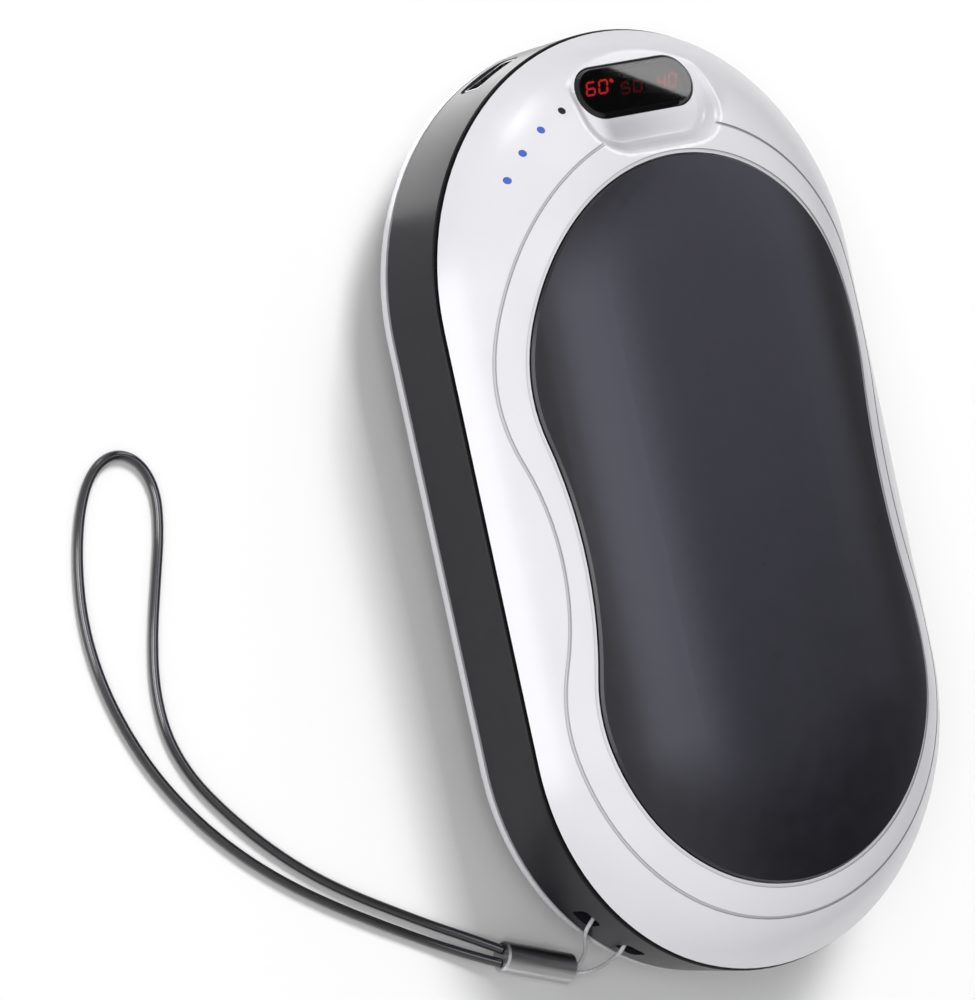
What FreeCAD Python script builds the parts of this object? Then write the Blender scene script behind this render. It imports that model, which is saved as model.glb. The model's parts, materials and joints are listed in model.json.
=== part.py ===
import FreeCAD, Part
import math
import os
import Sketcher
from types import SimpleNamespace

Vector = FreeCAD.Vector
X_AXIS = Vector(1, 0, 0)
Z_AXIS = Vector(0, 0, 1)
ORIGIN = Vector(0, 0, 0)

# Rechargeable hand warmer: a flat pebble, lying on its back.
# +Z comes out of the front face, +Y points to the display end, z = 0 is the rear plate's flat face.
# Lengths are in millimetres and angles in degrees.
SIZES = {
    # Outline of the housing, seen from the front: a straight middle with round ends.
    "body_length": 109.2,
    "body_width": 60.0,
    "band_height": 9.4,
    # Dome of each shell: a steep flank up to the shoulder, then a soft crown. The rear one starts upright.
    "dome_height": 8.8,
    "shoulder_inset": 6.0,
    "shoulder_height": 5.75,
    "shoulder_slope": 30.0,
    "rear_skirt": 1.3,
    "rear_skirt_round": 1.0,
    "shell_wall": 2.2,
    "joint_gap": 0.4,
    "rear_joint_gap": 0.15,
    # Lip of the band that both shells sit on.
    "lip_inset": 2.4,
    "lip_wall": 1.0,
    "lip_height": 1.2,
    "lip_clearance": 0.1,
    "band_edge": 0.3,
    # Heat plates: two round lobes with a waist, set in from the housing's sides and ends.
    "plate_side_margin": 6.35,
    "plate_low_margin": 10.0,
    "plate_high_margin": 15.9,
    "waist_bow": 67.25,
    "plate_thickness": 1.0,
    "plate_proud": 0.2,
    "plate_clearance": 0.12,
    "plate_edge": 0.25,
    "ledge_width": 2.5,
    "gasket_thickness": 0.2,
    "gasket_margin": 0.3,
    "step_width": 0.45,
    "step_depth": 0.2,
    # Engraved line round the plate.
    "line_gap": 3.3,
    "line_stretch": 1.3,
    "line_bow": 42.0,
    "line_width": 0.36,
    "line_depth": 0.3,
    # Heater films and insulation pads.
    "film_inset": 5.2,
    "film_thickness": 0.3,
    "film_tail_gap": 0.8,
    "film_tail_margin": 1.0,
    # Battery, between the main board and the lower bosses.
    "cell_side_gap": 5.6,
    "cell_low_gap": 3.3,
    "cell_thickness": 8.2,
    "cell_corner": 3.0,
    "tape_thickness": 0.2,
    "tape_margin": 4.0,
    "protection_width": 28.0,
    "protection_height": 9.0,
    "protection_thickness": 1.0,
    # Main board.
    "board_thickness": 1.2,
    "board_gap": 1.6,
    "board_rim": 1.0,
    "board_setback": 3.6,
    "boss_hole_gap": 0.5,
    # Case screws and the bosses that they go into.
    "boss_radius": 2.5,
    "boss_cover": 1.2,
    "boss_inset": 1.9,
    "boss_angle": 27.1,
    "lug_radius": 3.2,
    "lug_web": 1.2,
    "screw_seat": 4.4,
    "bore_radius": 1.75,
    "screw_head_radius": 1.55,
    "screw_head_height": 1.5,
    "screw_radius": 1.0,
    "screw_length": 10.0,
    "screw_clearance": 0.05,
    "hole_clearance": 0.2,
    # Board screws and the band's bosses under the board.
    "post_radius": 3.4,
    "post_inset": 3.0,
    "post_margin": 3.6,
    "post_height": 4.0,
    "board_screw_radius": 0.9,
    "board_screw_length": 4.2,
    "board_head_radius": 1.7,
    "board_head_height": 1.1,
    # Display.
    "window_width": 16.6,
    "window_height": 6.3,
    "window_tilt": 16.0,
    "window_margin": 7.36,
    "window_rise": 4.8,
    "window_proud": 0.3,
    "window_thickness": 1.2,
    "window_flange": 0.5,
    "window_flange_thickness": 0.4,
    "window_clearance": 0.1,
    "window_bevel": 0.4,
    "scoop_low_width": 15.4,
    "scoop_high_width": 19.3,
    "scoop_low_reach": 6.6,
    "scoop_high_reach": 5.2,
    "scoop_flare": 3.2,
    "scoop_depth": 3.0,
    "scoop_corner": 4.0,
    "scoop_fillet": 1.2,
    "scoop_rim": 1.2,
    "scoop_floor_thickness": 1.5,
    "scoop_floor_margin": 1.5,
    "module_width": 14.6,
    "module_height": 5.0,
    "module_thickness": 4.2,
    "module_gap": 0.3,
    "pin_radius": 0.25,
    "pin_pitch": 2.54,
    "pin_seat": 0.6,
    # Indicator lights, on an arc that opens towards the side.
    "light_inset": 5.8,
    "light_drift": 0.34,
    "light_first_angle": 28.2,
    "light_step_angle": 8.57,
    "light_radius": 0.36,
    "light_clearance": 0.06,
    "led_width": 1.0,
    "led_height": 0.6,
    # Charging socket in the band.
    "port_angle": 22.5,
    "port_drop": 6.2,
    "port_clearance": 0.25,
    "port_flare_depth": 0.4,
    "port_flare_angle": 40.0,
    "socket_width": 7.0,
    "socket_height": 2.9,
    "socket_depth": 6.6,
    "socket_wall": 0.3,
    "socket_corner": 0.7,
    "socket_setback": 0.3,
    "socket_back": 1.0,
    "tongue_width": 4.6,
    "tongue_height": 0.7,
    "tongue_length": 5.3,
    # Power button, sliding in through the band.
    "button_angle": 24.0,
    "button_width": 8.0,
    "button_height": 3.6,
    "button_proud": 0.45,
    "button_clearance": 0.15,
    "button_round": 0.3,
    "flange_width": 10.0,
    "flange_height": 2.4,
    "flange_thickness": 0.8,
    "flange_gap": 0.25,
    "plunger_radius": 0.9,
    "plunger_length": 1.6,
    "plunger_depth": 0.9,
    "plunger_clearance": 0.12,
    "switch_width": 6.0,
    "switch_height": 3.0,
    "switch_depth": 3.6,
    # Lanyard holes in the band.
    "lanyard_angle": 44.4,
    "lanyard_spread_angle": 6.8,
    "lanyard_width": 2.8,
    "lanyard_height": 2.9,
    "lanyard_drop": 5.8,
    "lanyard_corner": 0.7,
    "bar_thickness": 1.5,
    # Leads inside.
    "lead_radius": 0.5,
    "lead_spread": 4.0,
    "lead_inset": 1.0,
    "battery_lead_radius": 0.6,
    "battery_lead_spread": 5.0,
    "battery_lead_drop": 3.2,
    "battery_lead_reach": 5.2,
    "thermistor_radius": 0.9,
    "thermistor_length": 4.0,
    "thermistor_inset": 4.5,
    "thermistor_slot": 2.6,
    # Lanyard.
    "string_diameter": 0.5,
    "cord_diameter": 1.1,
    "sleeve_radius": 1.8,
    "sleeve_edge": 0.25,
    # Cuts run past the faces they open by this much, and edges on a face lie this close to it.
    "overrun": 1.0,
    "touch": 0.001,
}

LIGHT_COUNT = 4
PIN_COUNT = 5

# Routes of the lanyard, as points on the table and up to the band.
STRING_ROUTE = [
    (-19.36, -49.93, 1.8), (-18.5, -50.2, 2.0), (-18.4, -49.4, 3.2), (-19.6, -48.0, 5.8),
    (-21.7, -46.6, 9.0), (-23.3, -44.9, 11.7), (-22.4, -43.64, 12.5), (-20.68, -42.27, 12.5),
    (-18.33, -43.32, 12.5), (-17.23, -45.65, 12.5), (-18.57, -47.4, 12.5), (-19.49, -48.58, 11.8),
    (-18.8, -49.2, 9.4), (-17.4, -50.5, 5.3), (-17.7, -51.1, 2.9), (-18.77, -50.95, 1.9),
    (-19.64, -50.57, 1.8),
]
CORD_ROUTE = [
    (-28.2, -45.65, 1.8), (-31.0, -43.75, 1.1), (-35.6, -41.0, 0.6), (-40.6, -37.9, 0.6),
    (-45.6, -34.7, 0.6), (-50.6, -31.0, 0.6), (-55.3, -26.6, 0.6), (-59.6, -21.6, 0.6),
    (-62.8, -16.9, 0.6), (-64.6, -11.9, 0.6), (-64.7, -6.4, 0.6), (-63.5, -0.9, 0.6),
    (-61.7, 4.6, 0.6), (-59.9, 9.9, 0.6), (-59.2, 14.4, 0.6), (-60.5, 17.9, 0.6),
    (-63.4, 19.4, 0.6), (-66.7, 18.0, 0.6), (-69.2, 13.9, 0.6), (-70.9, 8.2, 0.6),
    (-71.7, 2.0, 0.6), (-71.2, -4.2, 0.6), (-69.5, -10.4, 0.6), (-66.7, -16.6, 0.6),
    (-62.6, -22.6, 0.6), (-57.7, -27.9, 0.6), (-52.5, -32.3, 0.6), (-47.1, -36.1, 0.6),
    (-41.6, -39.6, 0.6), (-36.5, -42.7, 0.6), (-31.8, -45.45, 1.1), (-28.8, -47.05, 1.8),
]


class Size:
    """A number together with the spreadsheet expression that gives it."""

    def __init__(self, value, text):
        self.value = value
        self.text = text

    def __add__(self, other):
        return Size(self.value + plain(other), f"({self.text} + {words(other)})")

    def __radd__(self, other):
        return Size(plain(other) + self.value, f"({words(other)} + {self.text})")

    def __sub__(self, other):
        return Size(self.value - plain(other), f"({self.text} - {words(other)})")

    def __rsub__(self, other):
        return Size(plain(other) - self.value, f"({words(other)} - {self.text})")

    def __mul__(self, other):
        return Size(self.value * plain(other), f"({self.text} * {words(other)})")

    def __rmul__(self, other):
        return self * other

    def __truediv__(self, other):
        return Size(self.value / plain(other), f"({self.text} / {words(other)})")

    def __neg__(self):
        return Size(-self.value, f"(0 - {self.text})")


def plain(item):
    return item.value if isinstance(item, Size) else item


def words(item):
    return item.text if isinstance(item, Size) else repr(item)


def sine(angle):
    return Size(math.sin(math.radians(plain(angle))), f"sin({words(angle)})")


def cosine(angle):
    return Size(math.cos(math.radians(plain(angle))), f"cos({words(angle)})")


def root(item):
    return Size(math.sqrt(plain(item)), f"sqrt({words(item)})")


doc = FreeCAD.newDocument("hand_warmer")
sheet = doc.addObject("Spreadsheet::Sheet", "Sizes")
for row, (alias, number) in enumerate(SIZES.items(), start=1):
    sheet.set(f"A{row}", alias)
    sheet.set(f"B{row}", str(number))
    sheet.setAlias(f"B{row}", alias)
doc.recompute()
s = SimpleNamespace(**{alias: Size(float(sheet.get(alias)), f"Sizes.{alias}") for alias in SIZES})

# Places that follow from the driving dimensions.
ZERO = Size(0.0, "0")
end_radius = s.body_width / 2
end_place = (s.body_length - s.body_width) / 2
rear_joint = s.dome_height + s.plate_proud
front_joint = rear_joint + s.band_height
middle = rear_joint + s.band_height / 2
top = middle * 2
band_wall = s.lip_inset + s.lip_wall
inner_radius = end_radius - band_wall
port_height = front_joint - s.port_drop
board_under = port_height + s.socket_height / 2
board_top = board_under + s.board_thickness
film_under = top - s.plate_thickness - s.film_thickness
cells_top = middle + s.tape_thickness / 2 + s.cell_thickness
lobe_radius = end_radius - s.plate_side_margin
lobe_spacing = s.body_length - s.plate_low_margin - s.plate_high_margin - lobe_radius * 2
plate_shift = (s.plate_low_margin - s.plate_high_margin) / 2
upper_lobe = plate_shift + lobe_spacing / 2
lower_lobe = plate_shift - lobe_spacing / 2
plate_end = upper_lobe + lobe_radius
plate_outline = (lobe_radius, s.waist_bow, lobe_spacing)
line_outline = (lobe_radius + s.line_gap, s.line_bow, lobe_spacing + s.line_stretch)
boss_spread = (lobe_radius - s.boss_inset) * sine(s.boss_angle)
boss_reach = (lobe_radius - s.boss_inset) * cosine(s.boss_angle)
upper_boss = upper_lobe + boss_reach
lower_boss = lower_lobe - boss_reach
lug_top = s.screw_seat + s.lug_web
board_chord = upper_boss - s.boss_radius - s.boss_hole_gap - s.board_rim
cells_end = board_chord - s.board_setback - s.protection_thickness
cells_start = lower_boss + s.lug_radius + s.cell_low_gap
cell_length = cells_end - cells_start
cell_place = (cells_start + cells_end) / 2
cell_width = (inner_radius - s.cell_side_gap) * 2
film_tail_end = plate_end - s.ledge_width - s.film_tail_gap
film_tail_width = (s.lead_spread + s.lead_radius + s.film_tail_margin) * 2
lead_place = film_tail_end - s.lead_inset
thermistor_place = plate_end - s.film_inset - s.thermistor_inset
window_place = s.body_length / 2 - s.window_margin
light_places = []
for step in range(LIGHT_COUNT):
    light_orbit = end_radius - s.light_inset + s.light_drift * step
    light_angle = s.light_first_angle + s.light_step_angle * step
    light_places.append((-(light_orbit * sine(light_angle)), end_place + light_orbit * cosine(light_angle)))

parts = {}


def keep(label, item):
    """Give a finished sub-part the label that names its file."""
    item.Label = label
    parts[label] = item
    return item


def bind(item, name, size):
    item.setExpression(name, words(size))


def put(item, x=ZERO, y=ZERO, z=ZERO, turn=None, axis=Z_AXIS):
    """Place an object, with its place and turn bound to the sheet."""
    if turn is not None:
        item.Placement = FreeCAD.Placement(ORIGIN, FreeCAD.Rotation(axis, plain(turn)))
        bind(item, "Placement.Rotation.Angle", turn)
    bind(item, "Placement.Base.x", x)
    bind(item, "Placement.Base.y", y)
    bind(item, "Placement.Base.z", z)
    return item


def new_body(label):
    return doc.addObject("PartDesign::Body", label)


def new_sketch(body, role, lift=ZERO):
    """An empty sketch on one of the body's own origin planes, lifted off it along its normal."""
    plane = [feature for feature in body.Origin.OriginFeatures if feature.Role == role][0]
    sketch = body.newObject("Sketcher::SketchObject", body.Name + "_sketch")
    sketch.AttachmentSupport = [(plane, "")]
    sketch.MapMode = "FlatFace"
    bind(sketch, "AttachmentOffset.Base.z", lift)
    return sketch


def pin(sketch, geometry, point, x, y):
    """Hold a sketch point at a place that the sheet gives."""
    for kind, size in (("DistanceX", x), ("DistanceY", y)):
        index = sketch.addConstraint(Sketcher.Constraint(kind, -1, 1, geometry, point, plain(size)))
        bind(sketch, f"Constraints[{index}]", size)


def draw(sketch, corners):
    """Draw a closed outline. A corner is (x, y), or (x, y, radius, turn) where an arc leads on from it."""
    edges = []
    for number, corner in enumerate(corners):
        following = corners[(number + 1) % len(corners)]
        start = Vector(plain(corner[0]), plain(corner[1]), 0)
        end = Vector(plain(following[0]), plain(following[1]), 0)
        if len(corner) == 2:
            edges.append((sketch.addGeometry(Part.LineSegment(start, end)), 1, 2))
            continue
        radius, turn = corner[2:]
        chord = end - start
        side = Vector(-chord.y, chord.x, 0).normalize() * turn
        centre = (start + end) / 2 + side * math.sqrt(max(plain(radius) ** 2 - chord.Length ** 2 / 4, 0))
        first, last = (start, end) if turn > 0 else (end, start)
        angles = [math.atan2(point.y - centre.y, point.x - centre.x) for point in (first, last)]
        circle = Part.Circle(centre, Z_AXIS, plain(radius))
        index = sketch.addGeometry(Part.ArcOfCircle(circle, *angles))
        edges.append((index, 1, 2) if turn > 0 else (index, 2, 1))
        held = sketch.addConstraint(Sketcher.Constraint("Radius", index, plain(radius)))
        bind(sketch, f"Constraints[{held}]", radius)
    for number, corner in enumerate(corners):
        geometry, begin, _ = edges[number]
        before, _, finish = edges[number - 1]
        sketch.addConstraint(Sketcher.Constraint("Coincident", before, finish, geometry, begin))
        pin(sketch, geometry, begin, corner[0], corner[1])


def draw_circle(sketch, x, y, radius):
    index = sketch.addGeometry(Part.Circle(Vector(plain(x), plain(y), 0), Z_AXIS, plain(radius)))
    pin(sketch, index, 3, x, y)
    held = sketch.addConstraint(Sketcher.Constraint("Radius", index, plain(radius)))
    bind(sketch, f"Constraints[{held}]", radius)


def stadium(radius, reach):
    """Corners of a straight-sided outline with round ends along Y."""
    return [
        (radius, -reach), (radius, reach, radius, 1), (ZERO, reach + radius, radius, 1),
        (-radius, reach), (-radius, -reach, radius, 1), (ZERO, -reach - radius, radius, 1),
    ]


def slot(width, height):
    """Corners of a rounded-end oval along X."""
    radius = height / 2
    reach = width / 2 - radius
    return [
        (-reach, -radius), (reach, -radius, radius, 1), (reach + radius, ZERO, radius, 1),
        (reach, radius), (-reach, radius, radius, 1), (-reach - radius, ZERO, radius, 1),
    ]


def rounded(width, height, radius, y=ZERO):
    """Corners of a rectangle with round corners, centred on X."""
    right = width / 2
    low = y - height / 2
    high = y + height / 2
    return [
        (radius - right, low), (right - radius, low, radius, 1), (right, low + radius),
        (right, high - radius, radius, 1), (right - radius, high), (radius - right, high, radius, 1),
        (-right, high - radius), (-right, low + radius, radius, 1),
    ]


def rectangle(left, low, right, high):
    return [(left, low), (right, low), (right, high), (left, high)]


def add_pad(body, sketch, length, backwards=False):
    feature = body.newObject("PartDesign::Pad", body.Name + "_pad")
    feature.Profile = sketch
    feature.Reversed = backwards
    bind(feature, "Length", length)
    return feature


def dress(body, kind, edges, measure, size):
    """Fillet or chamfer named edges of a body."""
    base = body.Tip
    feature = body.newObject(kind, body.Name + "_edge")
    feature.Base = (base, edges)
    bind(feature, measure, size)
    body.Tip = feature


def slab(label, outlines, low, thickness):
    """A body of even thickness, padded up from the height low."""
    body = new_body(label)
    sketch = new_sketch(body, "XY_Plane", low)
    for corners in outlines:
        draw(sketch, corners)
    add_pad(body, sketch, thickness)
    return body


def radial_slab(label, outlines, near, far, flare=ZERO):
    """A body drawn on the XZ plane and padded outwards along Y, from near to far, with flared sides."""
    body = new_body(label)
    sketch = new_sketch(body, "XZ_Plane", -near)
    for corners in outlines:
        draw(sketch, corners)
    bind(add_pad(body, sketch, far - near, backwards=True), "TaperAngle", flare)
    return body


def cylinder(label, radius, height, x=ZERO, y=ZERO, z=ZERO):
    item = doc.addObject("Part::Cylinder", label)
    bind(item, "Radius", radius)
    bind(item, "Height", height)
    return put(item, x, y, z)


def joined(label, items):
    item = doc.addObject("Part::MultiFuse", label)
    item.Shapes = items
    item.Refine = True
    return item


def cut(label, base, tool):
    item = doc.addObject("Part::Cut", label)
    item.Base = base
    item.Tool = tool
    item.Refine = True
    return item


def group(label, items):
    """Separate solids that share one node."""
    item = doc.addObject("Part::Compound", label)
    item.Links = items
    return keep(label, item)


def solid(label, shape):
    """A sub-part whose doubly curved shape is set directly."""
    item = doc.addObject("Part::Feature", label)
    item.Shape = shape
    return keep(label, item)


# Curved forms that follow the dome.

def waisted(outline, inset=0.0):
    """A face with two round lobes and a bowed waist, drawn in by inset."""
    lobe_size, bow_size, spacing = outline
    lobe = lobe_size.value - inset
    bow = bow_size.value + inset
    reach = spacing.value / 2
    shift = plate_shift.value
    waist = math.sqrt((lobe + bow) ** 2 - reach ** 2) - bow
    share = lobe / (lobe + bow)
    side = (waist + bow) * share
    rise = reach * (1 - share)

    def point(x, y):
        return Vector(x, y + shift, 0)

    edges = [
        Part.Arc(point(side, rise), point(0, reach + lobe), point(-side, rise)),
        Part.Arc(point(-side, rise), point(-waist, 0), point(-side, -rise)),
        Part.Arc(point(-side, -rise), point(0, -reach - lobe), point(side, -rise)),
        Part.Arc(point(side, -rise), point(waist, 0), point(side, rise)),
    ]
    return Part.Face(Part.Wire([edge.toShape() for edge in edges]))


def upright(face, low=None, high=None):
    """Stand a face up as a prism, by default from the middle of the housing to past its top."""
    low = middle.value if low is None else low
    high = top.value + s.overrun.value if high is None else high
    return face.translated(Vector(0, 0, low)).extrude(Vector(0, 0, high - low))


def carried_round(section):
    """Carry a half section, drawn on the XZ plane, along both sides and round both ends."""
    reach = end_place.value
    side = section.translated(Vector(0, -reach, 0)).extrude(Vector(0, reach * 2, 0))
    far_end = section.revolve(ORIGIN, Z_AXIS, 180).translated(Vector(0, reach, 0))
    near_end = section.revolve(ORIGIN, Z_AXIS, -180).translated(Vector(0, -reach, 0))
    other_side = side.mirror(ORIGIN, X_AXIS)
    return side.fuse([far_end, other_side, near_end]).removeSplitter()


def dome_section(sink, skirt):
    """Half section of the front, from the middle of the band up to its surface lowered by sink.

    The flank starts above an upright skirt of the given height.
    """
    base = front_joint.value - sink
    slope = math.radians(s.shoulder_slope.value)
    shoulder = Vector(end_radius.value - s.shoulder_inset.value, 0, base + s.shoulder_height.value)
    crown_rise = s.dome_height.value - s.shoulder_height.value
    crown = Vector(shoulder.x - crown_rise / math.tan(slope / 2), 0, shoulder.z + crown_rise)
    edge = Vector(end_radius.value, 0, base + skirt)
    crown_radius = crown_rise / (1 - math.cos(slope))
    crown_middle = Vector(
        crown.x + crown_radius * math.sin(slope / 2),
        0,
        crown.z - crown_radius * (1 - math.cos(slope / 2)),
    )
    flank = shoulder - edge
    edge_slope = 2 * math.atan2(flank.z, -flank.x) - slope
    flank_radius = flank.Length / (2 * math.sin((edge_slope - slope) / 2))
    half_slope = (edge_slope + slope) / 2
    flank_middle = Vector(
        edge.x - flank_radius * (math.sin(edge_slope) - math.sin(half_slope)),
        0,
        edge.z + flank_radius * (math.cos(half_slope) - math.cos(edge_slope)),
    )
    foot = Vector(end_radius.value, 0, middle.value)
    centre = Vector(0, 0, middle.value)
    crown_centre = Vector(0, 0, crown.z)
    edges = [
        Part.LineSegment(centre, foot),
        Part.LineSegment(foot, edge),
        Part.Arc(edge, flank_middle, shoulder),
        Part.Arc(shoulder, crown_middle, crown),
        Part.LineSegment(crown, crown_centre),
        Part.LineSegment(crown_centre, centre),
    ]
    return Part.Face(Part.Wire([edge.toShape() for edge in edges]))


def dome(sink=0.0, skirt=0.0):
    return carried_round(dome_section(sink, skirt))


def layer(prism, upper, lower):
    """The part of a prism that lies between two depths under the dome's surface."""
    return prism.common(dome(upper)).cut(dome(lower))


def flipped(shape):
    """The same shape on the rear of the housing."""
    return shape.mirror(Vector(0, 0, middle.value), Z_AXIS)


def ring_section(near, far, low, high):
    """A rectangle on the XZ plane, between two insets and two heights."""
    left = end_radius.value - far
    right = end_radius.value - near
    corners = [Vector(left, 0, low), Vector(right, 0, low), Vector(right, 0, high), Vector(left, 0, high)]
    return Part.Face(Part.makePolygon(corners + corners[:1]))


def post(radius, x, y, low, high):
    return Part.makeCylinder(radius, high - low, Vector(x, y, low))


boss_sizes = [(boss_spread * side, place) for side in (-1, 1) for place in (upper_boss, lower_boss)]
boss_places = [(x.value, y.value) for x, y in boss_sizes]


def blank_shell(inner_posts, gap, skirt=0.0):
    """A domed shell with its rim, the opening behind the plate and its posts, a gap off the band."""
    over = s.overrun.value
    shell = dome(skirt=skirt).cut(dome(s.shell_wall.value, skirt))
    rim = front_joint.value + gap
    shell = shell.cut(carried_round(ring_section(-over, end_radius.value, middle.value - over, rim)))
    near = s.lip_inset.value - s.lip_clearance.value
    far = band_wall.value + s.lip_clearance.value
    lip_top = front_joint.value + s.lip_height.value
    shell = shell.cut(carried_round(ring_section(near, far, front_joint.value, lip_top)))
    opening = upright(waisted(plate_outline, s.ledge_width.value))
    lower_half = carried_round(ring_section(0, end_radius.value, 0, middle.value))
    inside = dome(s.boss_cover.value).fuse(lower_half)
    return shell.cut(opening).fuse([item.common(inside) for item in inner_posts])


def with_pocket(shell, skirt=0.0):
    """Cut the plate's pocket, the step round it and the engraved line."""
    pocket_depth = s.plate_thickness.value - s.plate_proud.value + s.gasket_thickness.value
    clearance = s.plate_clearance.value
    pocket = upright(waisted(plate_outline, -clearance)).cut(dome(pocket_depth, skirt))
    step = upright(waisted(plate_outline, -clearance - s.step_width.value))
    step = step.cut(dome(s.step_depth.value, skirt))
    half_line = s.line_width.value / 2
    line = upright(waisted(line_outline, -half_line)).cut(upright(waisted(line_outline, half_line)))
    return shell.cut([pocket, step, line.cut(dome(s.line_depth.value, skirt))])


def at_window(shape):
    """Carry a shape drawn at the origin to the tilted floor of the display scoop."""
    carried = shape.copy()
    place = Vector(0, window_place.value, front_joint.value + s.window_rise.value)
    carried.Placement = FreeCAD.Placement(place, FreeCAD.Rotation(X_AXIS, -s.window_tilt.value))
    return carried


def scoop_wire(flare, height):
    """Outline of the scoop: narrow towards the plate, wide towards the end, with round corners."""
    low = -s.scoop_low_reach.value - flare
    high = s.scoop_high_reach.value + flare
    low_half = s.scoop_low_width.value / 2 + flare
    high_half = s.scoop_high_width.value / 2 + flare
    corners = [Vector(-low_half, low, height), Vector(low_half, low, height),
               Vector(high_half, high, height), Vector(-high_half, high, height)]
    radius = s.scoop_corner.value + flare
    edges = []
    ends = []
    for number, corner in enumerate(corners):
        before = (corners[number - 1] - corner).normalize()
        after = (corners[(number + 1) % 4] - corner).normalize()
        half = before.getAngle(after) / 2
        reach = radius / math.tan(half)
        bisector = (before + after).normalize()
        bend = corner + bisector * (radius / math.sin(half) - radius)
        ends.append((corner + before * reach, bend, corner + after * reach))
    for number, (start, bend, finish) in enumerate(ends):
        edges.append(Part.Arc(start, bend, finish).toShape())
        edges.append(Part.LineSegment(finish, ends[(number + 1) % 4][0]).toShape())
    return Part.Wire(edges)


def oval_face(width, height, lift):
    """Face of a rounded-end oval along X, at a height."""
    radius = height / 2
    reach = width / 2 - radius

    def point(x, y):
        return Vector(x, y, lift)

    edges = [
        Part.LineSegment(point(-reach, -radius), point(reach, -radius)),
        Part.Arc(point(reach, -radius), point(reach + radius, 0), point(reach, radius)),
        Part.LineSegment(point(reach, radius), point(-reach, radius)),
        Part.Arc(point(-reach, radius), point(-reach - radius, 0), point(-reach, -radius)),
    ]
    return Part.Face(Part.Wire([edge.toShape() for edge in edges]))


def oval(width, height, low, high):
    return oval_face(width, height, low).extrude(Vector(0, 0, high - low))


def lies_on(edge, shape):
    """True where the middle of an edge lies on the surface of a shape."""
    point = edge.valueAt((edge.FirstParameter + edge.LastParameter) / 2)
    return Part.Vertex(point).distToShape(shape.Shells[0])[0] < s.touch.value


def with_scoop(shell):
    """Cut the display's scoop, with a round floor and a round rim."""
    scoop = Part.makeLoft([scoop_wire(0, 0), scoop_wire(s.scoop_flare.value, s.scoop_depth.value)], True)
    half_depth = s.scoop_depth.value / 2
    floor_edges = [edge for edge in scoop.Edges if edge.BoundBox.ZMax < half_depth]
    scoop = at_window(scoop.makeFillet(s.scoop_fillet.value, floor_edges))
    surface = dome()
    shell = shell.cut(scoop)
    rim = [edge for edge in shell.Edges if lies_on(edge, scoop) and lies_on(edge, surface)]
    return shell.makeFillet(s.scoop_rim.value, rim)


def make_front_shell():
    over = s.overrun.value
    floor = s.scoop_floor_thickness.value
    margin = s.scoop_floor_margin.value
    backing = at_window(Part.makeLoft([scoop_wire(margin, -floor), scoop_wire(margin, over)], True))
    crown = top.value - s.plate_proud.value
    bosses = [post(s.boss_radius.value, x, y, lug_top.value, crown) for x, y in boss_places]
    shell = with_pocket(with_scoop(blank_shell([backing] + bosses, s.joint_gap.value)))
    gap = s.window_clearance.value * 2
    flange = s.window_flange.value * 2
    width, height = s.window_width.value + gap, s.window_height.value + gap
    seat = s.window_proud.value - s.window_thickness.value + s.window_flange_thickness.value
    hole = oval(width, height, -floor - over, over)
    rebate = oval(width + flange, height + flange, -floor - over * 2, seat)
    shell = shell.cut([at_window(hole), at_window(rebate)])
    pilot = s.screw_radius.value + s.screw_clearance.value
    pilot_top = lug_top.value + s.screw_length.value
    holes = [post(pilot, x, y, lug_top.value - over, pilot_top) for x, y in boss_places]
    light_hole = s.light_radius.value + s.light_clearance.value
    holes += [post(light_hole, x.value, y.value, middle.value, top.value) for x, y in light_places]
    return shell.cut(holes).removeSplitter()


def make_rear_shell():
    over = s.overrun.value
    crown = top.value - s.plate_proud.value
    lugs = [post(s.lug_radius.value, x, y, top.value - lug_top.value, crown) for x, y in boss_places]
    skirt = s.rear_skirt.value
    shell = with_pocket(blank_shell(lugs, s.rear_joint_gap.value, skirt), skirt)
    bend = front_joint.value + skirt
    corner = [
        edge for edge in shell.Edges
        if edge.BoundBox.ZLength < s.touch.value and abs(edge.CenterOfMass.z - bend) < s.touch.value
    ]
    shell = flipped(shell.makeFillet(s.rear_skirt_round.value, corner))
    hole = s.screw_radius.value + s.hole_clearance.value
    cuts = []
    for x, y in boss_places:
        cuts.append(post(hole, x, y, 0, lug_top.value + over))
        cuts.append(post(s.bore_radius.value, x, y, 0, s.screw_seat.value))
    return shell.cut(cuts).removeSplitter()


def stands_upright(face):
    """True for a wall of a prism, whose middle faces sideways."""
    first_u, last_u, first_v, last_v = face.ParameterRange
    normal = face.normalAt((first_u + last_u) / 2, (first_v + last_v) / 2)
    return abs(normal.z) < math.hypot(normal.x, normal.y)


def make_plate():
    """A heat plate: a pressed sheet that follows the dome, with a broken edge."""
    plate = layer(
        upright(waisted(plate_outline)),
        -s.plate_proud.value,
        s.plate_thickness.value - s.plate_proud.value,
    )
    walls = [face for face in plate.Faces if stands_upright(face)]
    rim = [edge for wall in walls for edge in wall.Edges if edge.CenterOfMass.z > wall.CenterOfMass.z]
    return plate.makeChamfer(s.plate_edge.value, rim)


def make_gasket():
    ring = upright(waisted(plate_outline, s.gasket_margin.value))
    ring = ring.cut(upright(waisted(plate_outline, s.ledge_width.value)))
    under_plate = s.plate_thickness.value - s.plate_proud.value
    return layer(ring, under_plate, under_plate + s.gasket_thickness.value)


def film_prism():
    return upright(waisted(plate_outline, s.film_inset.value))


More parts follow.
